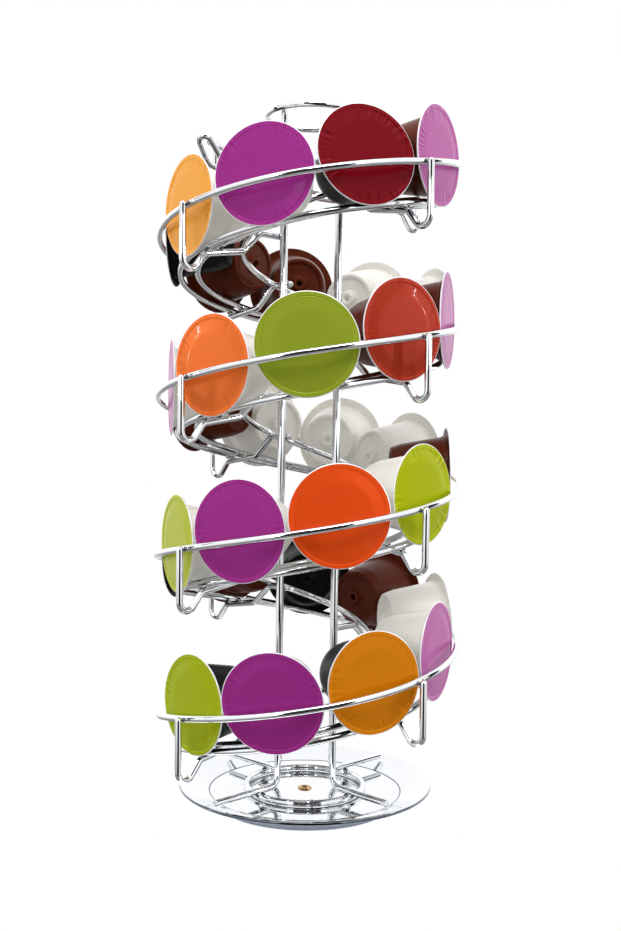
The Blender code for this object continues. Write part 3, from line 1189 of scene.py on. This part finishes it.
@dataclass
class Frame:
    """The four rods with their feet, the ring under the feet and the ring round the rods' tops."""

    track: Track
    form: DishForm
    finish: bpy.types.Material
    welds: Welds
    top_ring_height: float = 402.4 * MM
    rod_over_ring: float = 1.0 * MM
    foot_ends: tuple[float, ...] = (70.0 * MM, 65.0 * MM, 67.0 * MM, 67.0 * MM)
    foot_bend: float = 6.0 * MM
    bottom_ring_radius: float = 34.4 * MM
    seam_angle: float = 7.0
    rod_sides: int = 24
    rod_rounding: float = 0.45
    ring_stations: int = 120
    foot_bead_off_middle: float = 1.5 * MM
    top_bead_off_middle: float = 1.3 * MM
    sides: tuple[str, ...] = ("front_left", "front_right", "rear_right", "rear_left")

    @property
    def bottom_ring_height(self) -> float:
        """Height of the middle of the lower ring's wire."""
        return self.form.face + self.track.seat_gap + self.track.wire

    def rod(self, side: str, rod_angle: float, foot_end: float) -> bpy.types.Object:
        """Bend one rod, from its top down and out along its foot.

        Args:
            side: The corner of the rack that it stands at.
            rod_angle: Its azimuth.
            foot_end: The radius at which its foot ends.

        Returns:
            The new piece.
        """
        track, form = self.track, self.form
        foot = self.bottom_ring_height + track.wire_on_wire
        share = (foot_end - form.flat_radius) / (form.rim_radius - form.flat_radius)
        tip = max(foot, form.face + form.rim_rise * share + track.wire + track.seat_gap)
        corners = [
            track.around(track.rod_radius, rod_angle, self.top_ring_height + self.rod_over_ring),
            track.around(track.rod_radius, rod_angle, foot),
            track.around(foot_end, rod_angle, tip),
        ]
        wire = WireForm(track.wire, self.rod_sides)
        wire.follow(rounded(corners, [self.foot_bend], steps=10))
        wire.cap(self.rod_rounding)
        return finish_piece(wire.bm, f"rod_{side}_bent", [self.finish])

    def ring(self, name: str, radius: float, height: float, wire_radius: float) -> bpy.types.Object:
        """Spin a closed ring of wire.

        Args:
            name: The piece's name.
            radius: The ring's radius.
            height: The height of its middle.
            wire_radius: The wire's radius.

        Returns:
            The new piece.
        """
        bm = bmesh.new()
        pose = Matrix.Translation((radius, 0.0, height)) @ Matrix.Rotation(pi / 2, 4, "X")
        bmesh.ops.create_circle(
            bm, cap_ends=False, segments=self.rod_sides, radius=wire_radius, matrix=pose
        )
        spin_round(bm, self.ring_stations)
        return finish_piece(bm, name, [self.finish])

    def build(self) -> list[tuple[bpy.types.Object, str]]:
        """Build rods and rings.

        Returns:
            Each piece with the node that it stands for.
        """
        track = self.track
        made = []
        top_radius = track.rod_radius + track.wire + track.seat_gap + track.top_ring_wire
        for index, (side, foot_end) in enumerate(zip(self.sides, self.foot_ends)):
            rod_angle = track.first_bracket + track.bracket_step * index
            made.append((self.rod(side, rod_angle, foot_end), f"rod_{side}"))
            out = track.around(1.0, rod_angle + 90.0, 0.0)
            seat = track.around(self.bottom_ring_radius, rod_angle, self.bottom_ring_height + track.wire)
            top = track.around(track.rod_radius + track.wire, rod_angle, self.top_ring_height)
            for way in (-1, 1):
                self.welds.add(seat + out * way * self.foot_bead_off_middle, out, size=0.9)
                self.welds.add(top + out * way * self.top_bead_off_middle, out, size=0.8)
        low, high = self.bottom_ring_height, self.top_ring_height
        lower = self.ring("bottom_ring_bent", self.bottom_ring_radius, low, track.wire)
        upper = self.ring("top_ring_bent", top_radius, high, track.top_ring_wire)
        seam = track.around(self.bottom_ring_radius, self.seam_angle, low)
        self.welds.add(seam, track.around(1.0, self.seam_angle + 90.0, 0.0), size=2.5, drawn=0.25)
        return [*made, (lower, "bottom_ring"), (upper, "top_ring")]


@dataclass
class Turntable:
    """The base on the table, the polished dish that turns on it and the eyelet between them."""

    form: DishForm
    dish_finish: bpy.types.Material
    base_finish: bpy.types.Material
    brass_finish: bpy.types.Material
    base_radius: float = 53.0 * MM
    base_height: float = 5.4 * MM
    crease: float = 0.22 * MM
    crease_width: float = 0.7 * MM
    eyelet_radius: float = 4.2 * MM
    eyelet_height: float = 0.8 * MM
    eyelet_bore: float = 1.5 * MM
    eyelet_over_dish: float = 0.05 * MM
    shank: float = 3.0 * MM
    shank_depth: float = 5.0 * MM
    shank_clearance: float = 0.3 * MM
    sides: int = 160
    eyelet_sides: int = 48

    def dish(self) -> bpy.types.Object:
        """Turn the dish: flat, then a pressed crease, a sloping flange and a rolled bead.

        Returns:
            The new piece.
        """
        form = self.form
        face, under, flat, rim = form.face, form.under, form.flat_radius, form.rim_radius
        rim_top, rim_edge = face + form.rim_rise, rim + form.bead
        rim_foot = rim_top - form.sheet - form.bead
        trough = flat - 0.2 * MM
        outline = rounded_outline(
            [
                (form.hole, face, 0.0),
                (trough - self.crease_width, face, 0.5 * MM),
                (trough, face - self.crease, 0.5 * MM),
                (flat + 0.8 * MM, face + 0.25 * MM, 0.6 * MM),
                (rim, rim_top, 0.9 * MM),
                (rim_edge, rim_top - form.bead / 2, 0.5 * MM),
                (rim_edge, rim_foot, 0.5 * MM),
                (rim, rim_foot, 0.3 * MM),
                (flat, under, 1.2 * MM),
                (form.hole, under, 0.0),
                (form.hole, face, 0.0),
            ]
        )
        return finish_piece(turned_mesh(outline, self.sides), "polished_dish", [self.dish_finish])

    def base(self) -> bpy.types.Object:
        """Turn the base, with its pocket for the eyelet's shank.

        Returns:
            The new piece.
        """
        hole = self.form.hole
        pocket = self.form.face - self.shank_depth - self.shank_clearance
        outline = rounded_outline(
            [
                (0.0, pocket, 0.0),
                (hole, pocket, 0.0),
                (hole, self.base_height, 0.2 * MM),
                (self.base_radius, self.base_height, 0.8 * MM),
                (self.base_radius, 0.0, 0.3 * MM),
                (0.0, 0.0, 0.0),
            ]
        )
        return finish_piece(turned_mesh(outline, self.sides), "base_drum", [self.base_finish])

    def eyelet(self) -> bpy.types.Object:
        """Turn the hollow brass eyelet with its rolled head.

        Returns:
            The new piece.
        """
        bore = self.eyelet_bore
        seat = self.form.face + self.eyelet_over_dish
        foot = self.form.face - self.shank_depth
        head = seat + self.eyelet_height
        outline = rounded_outline(
            [
                (bore, foot, 0.0),
                (bore, head - 0.35 * MM, 0.2 * MM),
                (bore + 0.7 * MM, head, 0.5 * MM),
                (self.eyelet_radius - 0.5 * MM, head, 0.6 * MM),
                (self.eyelet_radius, seat, 0.1 * MM),
                (self.shank, seat, 0.0),
                (self.shank, foot, 0.0),
                (bore, foot, 0.0),
            ]
        )
        return finish_piece(turned_mesh(outline, self.eyelet_sides), "brass_eyelet", [self.brass_finish])

    def build(self) -> list[tuple[bpy.types.Object, str]]:
        """Build the turntable.

        Returns:
            Each piece with the node that it stands for.
        """
        return [
            (self.base(), "turntable_base"),
            (self.dish(), "turntable_dish"),
            (self.eyelet(), "pivot_rivet"),
        ]


@dataclass(frozen=True)
class Loaded:
    """One capsule on the track: its colours and how it happens to lie there.

    wrinkles tells how crumpled its foil is, slide how many degrees it has slid up the track from
    its even place, lean how many degrees its lid hangs forward, and raised how far it is lifted.
    """

    lid: Lid
    cup: Cup
    wrinkles: float
    slide: float = 0.0
    lean: float = 0.0
    raised: float = 0.0


# The capsules from the lowest on the track to the highest.
LOAD: tuple[Loaded, ...] = (
    Loaded(Lid.GREEN, Cup.BLACK, 0.6, slide=0.5, raised=1.9 * MM),
    Loaded(Lid.PURPLE, Cup.WHITE, 0.35, slide=-0.3, lean=6.0),
    Loaded(Lid.AMBER, Cup.BLACK, 0.7),
    Loaded(Lid.PINK, Cup.WHITE, 0.3),
    Loaded(Lid.CREAM, Cup.WHITE, 0.8),
    Loaded(Lid.RED, Cup.BROWN, 0.8),
    Loaded(Lid.AMBER, Cup.BLACK, 0.8),
    Loaded(Lid.CREAM, Cup.BROWN, 0.8),
    Loaded(Lid.DARK_RED, Cup.BLACK, 0.8),
    Loaded(Lid.LIME, Cup.WHITE, 0.5),
    Loaded(Lid.PURPLE, Cup.WHITE, 0.5, raised=0.8 * MM),
    Loaded(Lid.ORANGE_RED, Cup.WHITE, 0.12),
    Loaded(Lid.LIME, Cup.WHITE, 0.9, slide=0.3, raised=0.6 * MM),
    Loaded(Lid.CREAM, Cup.BROWN, 0.8),
    Loaded(Lid.ROSE, Cup.WHITE, 0.8),
    Loaded(Lid.SALMON, Cup.WHITE, 0.8),
    Loaded(Lid.CREAM, Cup.WHITE, 0.8),
    Loaded(Lid.AMBER, Cup.BROWN, 0.8),
    Loaded(Lid.PINK, Cup.WHITE, 0.8),
    Loaded(Lid.SALMON, Cup.WHITE, 0.35, slide=0.8),
    Loaded(Lid.OLIVE, Cup.WHITE, 0.08, slide=1.7),
    Loaded(Lid.RED, Cup.BROWN, 0.35, slide=2.0),
    Loaded(Lid.PINK, Cup.BROWN, 0.9, slide=0.8),
    Loaded(Lid.CREAM, Cup.WHITE, 0.8),
    Loaded(Lid.CREAM, Cup.WHITE, 0.8),
    Loaded(Lid.ORANGE_RED, Cup.BROWN, 0.8),
    Loaded(Lid.RED, Cup.BROWN, 0.8),
    Loaded(Lid.DARK_RED, Cup.BLACK, 0.8),
    Loaded(Lid.ORANGE, Cup.WHITE, 1.2, slide=-0.6),
    Loaded(Lid.PURPLE, Cup.WHITE, 0.7, slide=-0.5, lean=-4.0, raised=0.9 * MM),
    Loaded(Lid.DARK_RED, Cup.BLACK, 1.1, lean=-9.0, raised=2.2 * MM),
    Loaded(Lid.PINK, Cup.BROWN, 1.2),
)


@dataclass
class Capsules:
    """The capsules on the track: a moulded cup with a nozzle, closed with a foil lid."""

    track: Track
    foil_edge: bpy.types.Material
    first_angle: float = -50.3
    lid_edge_gap: float = 2.72 * MM
    seal_radius: float = 24.7 * MM
    seal_depth: float = 0.55 * MM
    foil_slope: float = 5.8 * MM
    rim_radius: float = 27.7 * MM
    foil_radius: float = 27.25 * MM
    settled: float = 0.6 * MM
    slimmer: float = 0.5 * MM
    lean_pivot: float = 12.0 * MM
    lid_edge: float = 0.25 * MM
    band: float = -0.35 * MM
    collar: float = 2.2 * MM
    collar_step: float = 0.6 * MM
    end_radius: float = 15.8 * MM
    end_depth: float = 33.6 * MM
    end_lip: float = 1.9 * MM
    end_recess: float = 1.4 * MM
    nozzle_radius: float = 4.5 * MM
    nozzle_step: float = 0.4 * MM
    nozzle_bore: float = 1.7 * MM
    bore_depth: float = 4.5 * MM
    sides: int = 72
    turn_to_next: float = 47.0
    seed_to_next: float = 3.7

    def outline(self) -> Outline:
        """Outline of a capsule that lies face up, from the lid's middle round to the nozzle.

        Returns:
            Points of a radius and a height over the lid's face each.
        """
        track = self.track
        seal, edge, flange = self.seal_radius, self.rim_radius, -track.flange
        mouth, shoulder = track.cup_mouth_radius - self.slimmer, track.cup_shoulder_radius - self.slimmer
        end, nozzle, bore = self.end_radius, self.nozzle_radius, self.nozzle_bore
        ground, tip = -self.end_depth, -track.capsule_depth
        recess, step = ground + self.end_recess, ground + self.nozzle_step
        trough = seal - 0.7 * MM
        return rounded_outline(
            [
                (0.0, 0.0, 0.0),
                (trough - self.foil_slope, 0.0, 25.0 * MM),
                (trough, -self.seal_depth, 2.5 * MM),
                (seal + 0.2 * MM, -self.seal_depth, 0.2 * MM),
                (seal + 0.6 * MM, self.band, 0.3 * MM),
                (self.foil_radius - 0.05 * MM, self.band, 0.3 * MM),
                (edge, self.band - self.lid_edge, 0.15 * MM),
                (edge, flange, 0.3 * MM),
                (mouth + 0.2 * MM, flange, 0.3 * MM),
                (mouth + 0.1 * MM, flange - self.collar, 0.4 * MM),
                (mouth + 0.1 * MM - self.collar_step, flange - self.collar - 0.6 * MM, 0.5 * MM),
                (shoulder, -track.cup_shoulder_depth, 4.0 * MM),
                (end, ground, 1.2 * MM),
                (end - self.end_lip, ground, 0.3 * MM),
                (end - self.end_lip - 0.5 * MM, recess, 0.4 * MM),
                (nozzle + 1.3 * MM, recess, 0.4 * MM),
                (nozzle + 0.7 * MM, step, 0.3 * MM),
                (nozzle, step, 0.3 * MM),
                (nozzle - 0.5 * MM, tip, 0.5 * MM),
                (bore + 0.8 * MM, tip, 0.3 * MM),
                (bore, tip + 0.7 * MM, 0.3 * MM),
                (bore, tip + self.bore_depth, 0.0),
                (0.0, tip + self.bore_depth, 0.0),
            ],
            steps=3,
        )

    @staticmethod
    def cup_finishes() -> dict[Cup, bpy.types.Material]:
        """Finishes of the cups, which are injection-moulded from polypropylene in a satin mould.

        The white lets a little light into its thin wall, and a faint glow, painted light that it emits
        though it is no lamp, keeps its shaded side pale. The black and the brown are opaque, with soft, weak
        highlights from the mould's fine texture.

        Returns:
            The material of each colour.
        """
        # The white's glow is painted light, which keeps the cups' shaded sides pale.
        white = PlainFinish(
            "moulded_white_polypropylene", Cup.WHITE.value, "#E2DFD8", 0.3, subsurface=0.08, glow=0.11
        )
        black = PlainFinish("moulded_black_polypropylene", Cup.BLACK.value, "#151313", 0.36, ior=1.2)
        brown = PlainFinish("moulded_brown_polypropylene", Cup.BROWN.value, "#4E1C0E", 0.3, ior=1.18)
        return {Cup.WHITE: white.material(), Cup.BLACK: black.material(), Cup.BROWN: brown.material()}

    def seat(self, row: Loaded, angle: float) -> Matrix:
        """Place on the track of a capsule that is modelled face up about the Z axis.

        Args:
            row: How the capsule happens to lie.
            angle: Its azimuth.

        Returns:
            The turn and shift to its place.
        """
        track = self.track
        height = track.guard_at(angle) + track.axis_over_guard - self.settled + row.raised
        place = track.around(track.lid_face_radius, angle, height)
        pose = Matrix.Translation(place) @ Matrix.Rotation(radians(angle), 4, "Z")
        pivot = Matrix.Translation((0.0, 0.0, -self.lean_pivot))
        tipped = pivot @ Matrix.Rotation(radians(row.lean), 4, "X") @ pivot.inverted()
        return pose @ tipped @ Matrix.Rotation(pi / 2, 4, "X")

    def build(self) -> list[tuple[bpy.types.Object, str, str]]:
        """Build the capsules, each turned on from the last so that no two foils look alike.

        Returns:
            Each piece with the node that it stands for and its material slot in the record.
        """
        track, cups, outline = self.track, self.cup_finishes(), self.outline()
        step = 2 * degrees(atan2(track.lid_radius + self.lid_edge_gap / 2, track.lid_face_radius))
        made = []
        for index, row in enumerate(LOAD):
            node = f"capsule_{index + 1:02d}"
            colour, slot = row.lid.value
            lacquer = FoilLid(colour, self.seal_radius, row.wrinkles).material(
                f"lacquered_foil_{index + 1:02d}_{row.lid.name.lower()}", self.seed_to_next * index
            )
            bm = turned_mesh(outline, self.sides)
            self.mark_surfaces(bm)
            spun = Matrix.Rotation(radians(self.turn_to_next * index), 4, "Z")
            pose = self.seat(row, self.first_angle + step * index + row.slide)
            bmesh.ops.transform(bm, matrix=pose @ spun, verts=bm.verts)
            piece = finish_piece(bm, f"filled_{node}", [lacquer, self.foil_edge, cups[row.cup]])
            made.append((piece, node, slot))
        return made

    def mark_surfaces(self, bm: bmesh.types.BMesh) -> None:
        """Sort the faces into lid, foil edge and cup, and unwrap the lid flat, in metres.

        Args:
            bm: A capsule that still lies face up about the Z axis.
        """
        uv = bm.loops.layers.uv.new("flat_lid")
        lowest_foil = -self.seal_depth - 0.15 * MM
        lowest_edge = 0.1 * MM - self.track.flange
        for face in bm.faces:
            middle = face.calc_center_median()
            radius = hypot(middle.x, middle.y)
            if middle.z > lowest_foil and radius < self.foil_radius:
                face.material_index = 0
            elif middle.z > lowest_edge and radius > self.seal_radius:
                face.material_index = 1
            else:
                face.material_index = 2
            for loop in face.loops:
                loop[uv].uv = (loop.vert.co.x, loop.vert.co.y)


@dataclass(frozen=True)
class Card:
    """A card round the set, which only reflections and soft light show.

    Its middle and its halves are in degrees. gain is how bright it is next to what it covers.
    """

    azimuth: float
    half_width: float
    elevation: float
    half_height: float
    gain: float


@dataclass(frozen=True)
class Softbox:
    """A rectangular lamp, with its place and size in metres and its power in watts."""

    name: str
    place: tuple[float, float, float]
    aim: tuple[float, float, float]
    size: tuple[float, float]
    power: float


@dataclass
class Studio:
    """A bright, plain studio: pale floor, soft light all round and narrow dark flags."""

    lens: float = 42.7
    sensor_width: float = 36.0
    camera_place: tuple[float, float, float] = (0.0, -0.6515, 0.2153)
    pitch: float = 1.48
    roll: float = 0.69
    yaw: float = 0.10
    floor_radius: float = 100.0 * MM
    paper: float = 0.3 * MM
    light_below: float = 0.3
    light_above: float = 1.2
    # How far below the horizon the light is at its lowest, in radians.
    low_horizon: float = -0.5
    # Where a card's soft edge starts, as a share of its half width and height.
    soft_edge: float = 0.82
    cards: tuple[Card, ...] = (
        Card(azimuth=5.0, half_width=30.0, elevation=9.0, half_height=43.0, gain=0.01),
        Card(azimuth=5.0, half_width=36.0, elevation=13.0, half_height=7.0, gain=9.0),
        Card(azimuth=-99.0, half_width=7.0, elevation=5.0, half_height=35.0, gain=0.03),
        Card(azimuth=101.0, half_width=7.0, elevation=5.0, half_height=35.0, gain=0.03),
        Card(azimuth=-128.0, half_width=22.0, elevation=0.0, half_height=40.0, gain=1.15),
        Card(azimuth=128.0, half_width=22.0, elevation=0.0, half_height=40.0, gain=1.2),
        Card(azimuth=0.0, half_width=75.0, elevation=62.0, half_height=16.0, gain=2.4),
    )
    softboxes: tuple[Softbox, ...] = (
        Softbox("strip_left", (-1.25, 0.0, 0.47), (0.0, 0.0, 0.25), (0.012, 0.26), 1.5),
        Softbox("strip_right", (1.25, -0.15, 0.49), (0.0, 0.0, 0.25), (0.012, 0.26), 1.8),
        Softbox("softbox_top", (0.15, -0.75, 1.15), (0.0, 0.0, 0.2), (0.6, 0.35), 3.6),
    )

    def camera(self) -> None:
        """Set up the camera where the photograph was taken."""
        data = bpy.data.cameras.new("studio_camera")
        data.lens = self.lens
        data.sensor_width = self.sensor_width
        data.clip_start = 0.01
        camera = bpy.data.objects.new("studio_camera", data)
        bpy.context.scene.collection.objects.link(camera)
        camera.matrix_world = (
            Matrix.Translation(self.camera_place)
            @ Matrix.Rotation(radians(-self.yaw), 4, "Z")
            @ Matrix.Rotation(radians(90.0 - self.pitch), 4, "X")
            @ Matrix.Rotation(radians(self.roll), 4, "Z")
        )
        bpy.context.scene.camera = camera

    def backdrop(self) -> None:
        """Light the world: even white for the camera, with flags and a horizon in reflections."""
        world = bpy.data.worlds.new("studio")
        bpy.context.scene.world = world
        world.use_nodes = True
        tree = world.node_tree
        tree.nodes.clear()
        way = add_node(tree, "ShaderNodeTexCoord").outputs["Generated"]
        parts = add_node(tree, "ShaderNodeSeparateXYZ", {0: way})
        back = add_node(tree, "ShaderNodeMath", {0: parts.outputs["Y"], 1: -1.0}, operation="MULTIPLY")
        azimuth = add_node(
            tree, "ShaderNodeMath", {0: parts.outputs["X"], 1: back.outputs[0]}, operation="ARCTAN2"
        )
        elevation = add_node(tree, "ShaderNodeMath", {0: parts.outputs["Z"]}, operation="ARCSINE")
        light = add_node(
            tree,
            "ShaderNodeMapRange",
            {
                "Value": elevation.outputs[0],
                "From Min": self.low_horizon,
                "From Max": 0.0,
                "To Min": self.light_below,
                "To Max": self.light_above,
            },
        ).outputs[0]
        for card in self.cards:
            turned = add_node(
                tree,
                "ShaderNodeMath",
                {0: azimuth.outputs[0], 1: radians(card.azimuth)},
                operation="SUBTRACT",
            )
            wrapped = add_node(
                tree, "ShaderNodeMath", {0: turned.outputs[0], 1: -pi, 2: pi}, operation="WRAP"
            )
            lifted = add_node(
                tree,
                "ShaderNodeMath",
                {0: elevation.outputs[0], 1: radians(card.elevation)},
                operation="SUBTRACT",
            )
            masks = []
            for off, reach in ((wrapped, card.half_width), (lifted, card.half_height)):
                far = add_node(tree, "ShaderNodeMath", {0: off.outputs[0]}, operation="ABSOLUTE")
                masks.append(
                    add_node(
                        tree,
                        "ShaderNodeMapRange",
                        {
                            "Value": far.outputs[0],
                            "From Min": radians(reach),
                            "From Max": radians(reach * self.soft_edge),
                        },
                        interpolation_type="SMOOTHSTEP",
                    ).outputs[0]
                )
            covered = add_node(tree, "ShaderNodeMath", {0: masks[0], 1: masks[1]}, operation="MULTIPLY")
            factor = add_node(
                tree, "ShaderNodeMapRange", {"Value": covered.outputs[0], "To Min": 1.0, "To Max": card.gain}
            )
            light = add_node(
                tree, "ShaderNodeMath", {0: light, 1: factor.outputs[0]}, operation="MULTIPLY"
            ).outputs[0]
        seen = add_node(tree, "ShaderNodeLightPath").outputs["Is Camera Ray"]
        strength = add_node(tree, "ShaderNodeMix", {"Factor": seen, 2: light, 3: 1.0}, data_type="FLOAT")
        glow = add_node(
            tree, "ShaderNodeBackground", {"Color": linear("#FFFFFF"), "Strength": strength.outputs[0]}
        )
        add_node(tree, "ShaderNodeOutputWorld", {"Surface": glow.outputs[0]})

    def floor(self) -> None:
        """Lay the pale floor."""
        bm = bmesh.new()
        bmesh.ops.create_circle(bm, cap_ends=True, segments=128, radius=self.floor_radius)
        bmesh.ops.translate(bm, verts=bm.verts, vec=(0.0, 0.0, -self.paper))
        paper = PlainFinish("white_background_paper", "#FFFFFF", "#FAFAFA", 0.9, grain=1.0 * MM, glow=0.6)
        floor = finish_piece(bm, "studio_floor", [paper.material()])

    def lamps(self) -> None:
        """Hang the softboxes."""
        for box in self.softboxes:
            data = bpy.data.lights.new(box.name, "AREA")
            data.shape = "RECTANGLE"
            data.size, data.size_y = box.size
            data.energy = box.power
            lamp = bpy.data.objects.new(box.name, data)
            bpy.context.scene.collection.objects.link(lamp)
            lamp.location = box.place
            lamp.rotation_mode = "QUATERNION"
            lamp.rotation_quaternion = (Vector(box.aim) - Vector(box.place)).to_track_quat("-Z", "Y")

    def build(self) -> None:
        """Set up the whole studio."""
        self.camera()
        self.backdrop()
        self.floor()
        self.lamps()
        bpy.context.scene.view_settings.view_transform = "Standard"


def place_piece(piece: bpy.types.Object, node: str, homes: dict[str, str]) -> None:
    """Ride a piece on its node's body in the node's place.

    Args:
        piece: The finished piece.
        node: The CAD node that it stands for.
        homes: The body of each node.
    """
    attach(piece, homes[node])
    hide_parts(node)
    LOG.info("%s stands for %s on %s", piece.name, node, homes[node])


def main() -> None:
    """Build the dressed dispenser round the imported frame."""
    logging.basicConfig(level=logging.INFO, format="%(message)s")
    for old in list(bpy.data.objects):
        bpy.data.objects.remove(old, do_unlink=True)
    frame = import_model()
    bodies = frame["record"]["behaviour"]["bodies"]
    homes = {node: body for body, nodes in bodies.items() for node in nodes}
    Studio().build()
    chrome = ChromePlate().material()
    # Metal squeezed out of the spot welds and plated with the rest: darker and rougher than the wire.
    bead = PlainFinish(
        "plated_weld_metal", "#74767E", "#5C5F66", 0.28, metallic=1.0, grain=0.4 * MM, relief=0.15 * MM
    ).material()
    track, form, welds = Track(), DishForm(), Welds()
    wires = [
        *Rails(track, chrome).build(),
        *Brackets(track, chrome, welds).build(),
        *Frame(track, form, chrome, welds).build(),
    ]
    for piece, node in wires:
        place_piece(piece, node, homes)
    beads = welds.build(bead)
    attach(beads, "rack")
    LOG.info("%s rides on rack", beads.name)
    # Metallic grey paint on pressed steel: a satin sheen without sharp reflections.
    drum = PlainFinish("painted_steel_base", "#7C828E", "#727884", 0.3, metallic=0.85)
    # Turned and buffed brass: warm, bright, with a soft edge to its highlights.
    brass = PlainFinish("polished_brass", "#C9A46A", "#B08B52", 0.22, metallic=1.0)
    sheet = SpunSheet(form.flat_radius, form.rim_radius + form.bead)
    turntable = Turntable(form, sheet.material(), drum.material(), brass.material())
    slots = ("base_drum", "polished_dish", "brass_rivet")
    for (piece, node), slot in zip(turntable.build(), slots):
        place_piece(piece, node, homes)
    # Bare aluminium under the lacquer, where the foil is cut: a pale, dull line round each lid.
    foil_edge = PlainFinish("cut_aluminium_foil", "#F2F2F5", "#E4E4EA", 0.35, metallic=0.3)
    for piece, node, slot in Capsules(track, foil_edge.material()).build():
        place_piece(piece, node, homes)


if __name__ == "__main__":
    main()
